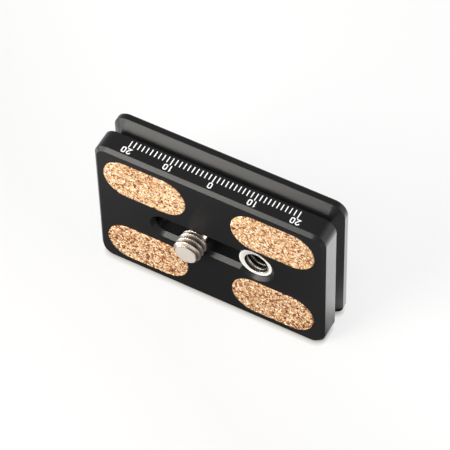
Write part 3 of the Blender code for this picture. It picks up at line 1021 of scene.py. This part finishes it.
def shown_floor(tree, coordinates):
    """The floor as the camera sees it: near white, with a soft shadow and a dark band at the foot, a
    painted contact shadow.
    """
    x, y, _ = split(tree, coordinates)
    backward = math_node(tree, "MULTIPLY_ADD", x, 0.5, y)
    own = ranged(tree, backward, *FLOOR_TURN, FLOOR_FRONT, FLOOR_BACK)
    open_share = put(tree, "ShaderNodeAmbientOcclusion", Distance=CONTACT_REACH).outputs["AO"]
    least = ranged(tree, y, *CONTACT_TURN, CONTACT_FRONT, CONTACT_BACK)
    strength = math_node(tree, "MULTIPLY", own, ranged(tree, open_share, 0.0, 1.0, least, 1.0))
    glow = put(tree, "ShaderNodeEmission", Color=ramp(tree, open_share, CONTACT_SHADOW_TINT), Strength=strength)
    both = {0: diffuse(tree, FLOOR_LIT), 1: glow.outputs[0]}
    return numbered(tree, "ShaderNodeAddShader", both).outputs[0]


def floor_material():
    """A floor with one look for the camera, one for reflections and a plain one for other light."""
    mat, tree, shader = new_material("floor")
    tree.nodes.remove(shader)
    path = tree.nodes.new("ShaderNodeLightPath")
    coordinates = object_coordinates(tree)
    level = mirrored_level(tree, coordinates)
    mirrored = put(tree, "ShaderNodeEmission", Color=MIRRORED_COLOUR, Strength=level)
    bounce = diffuse(tree, FLOOR_BOUNCE)
    unseen = mix_shaders(tree, path.outputs["Is Glossy Ray"], bounce, mirrored.outputs[0])
    whole = mix_shaders(tree, path.outputs["Is Camera Ray"], unseen, shown_floor(tree, coordinates))
    tree.links.new(whole, tree.nodes["Material Output"].inputs["Surface"])
    return mat


def build_floor():
    bm = bmesh.new()
    bmesh.ops.create_grid(bm, x_segments=1, y_segments=1, size=FLOOR_HALF_SIZE)
    mesh = bpy.data.meshes.new("floor")
    bm.to_mesh(mesh)
    bm.free()
    mesh.materials.append(floor_material())
    floor = bpy.data.objects.new("floor", mesh)
    bpy.context.scene.collection.objects.link(floor)


def softbox(name, direction, distance, width, height, radiance, colour=WHITE[:3], mirrored=True):
    """A rectangular light that faces the plate, with its brightness given as radiance."""
    data = bpy.data.lights.new(name, "AREA")
    data.shape = "RECTANGLE"
    data.size = width
    data.size_y = height
    data.energy = math.pi * width * height * radiance
    data.color = colour
    lamp = bpy.data.objects.new(name, data)
    direction = Vector(direction).normalized()
    lamp.location = direction * distance + Vector((0.0, 0.0, PLATE_WIDTH / 2))
    lamp.rotation_mode = "QUATERNION"
    lamp.rotation_quaternion = direction.to_track_quat("Z", "Y")
    lamp.visible_camera = False
    lamp.visible_glossy = mirrored
    bpy.context.scene.collection.objects.link(lamp)


def build_world(seen_strength, strength):
    """Surroundings that the camera sees near white and that light the plate with less."""
    world = bpy.data.worlds.new("studio")
    world.use_nodes = True
    tree = world.node_tree
    direction = tree.nodes.new("ShaderNodeTexCoord").outputs["Generated"]
    towards = vector_math(tree, "DOT_PRODUCT", direction, Vector(SKY_GLOW).normalized()).outputs["Value"]
    glow = ranged(tree, towards, SKY_GLOW_EDGE, 1.0, 0.0, SKY_GLOW_ADDED, smooth=True)
    path = tree.nodes.new("ShaderNodeLightPath")
    around = tree.nodes["Background"]
    around.inputs["Color"].default_value = WHITE
    glossy = path.outputs["Is Glossy Ray"]
    tree.links.new(math_node(tree, "MULTIPLY_ADD", glow, glossy, strength), around.inputs["Strength"])
    seen = put(tree, "ShaderNodeBackground", Color=WHITE, Strength=seen_strength)
    whole = mix_shaders(tree, path.outputs["Is Camera Ray"], around.outputs[0], seen.outputs[0])
    tree.links.new(whole, tree.nodes["World Output"].inputs["Surface"])
    bpy.context.scene.world = world


def build_camera():
    """A long lens at the photo's place."""
    lens = bpy.data.cameras.new("photo_view")
    lens.lens = 234.208
    lens.sensor_width = 36.0
    lens.clip_end = 50.0
    camera = bpy.data.objects.new("photo_view", lens)
    camera.location = (186.126 * MM, -319.977 * MM, 521.651 * MM)
    camera.rotation_euler = [math.radians(angle) for angle in (36.574, 1.060, 28.449)]
    bpy.context.scene.collection.objects.link(camera)
    bpy.context.scene.camera = camera


build_floor()
build_world(seen_strength=0.98, strength=0.42)
softbox("key", (-0.386, -0.779, 0.493), distance=0.27, width=0.115, height=0.115, radiance=10.8,
        colour=(1.0, 0.965, 0.89))
softbox("upper", (-0.28, -0.60, 0.75), distance=0.16, width=0.08, height=0.08, radiance=6.8,
        colour=(1.0, 0.98, 0.95), mirrored=False)
softbox("left", (-0.82, -0.50, 0.17), distance=0.60, width=0.46, height=0.40, radiance=4.8,
        colour=(1.0, 0.985, 0.97))
softbox("top", (0.15, -0.45, 0.95), distance=1.1, width=0.5, height=0.5, radiance=3.0)
build_camera()
bpy.context.scene.view_settings.view_transform = "Standard"
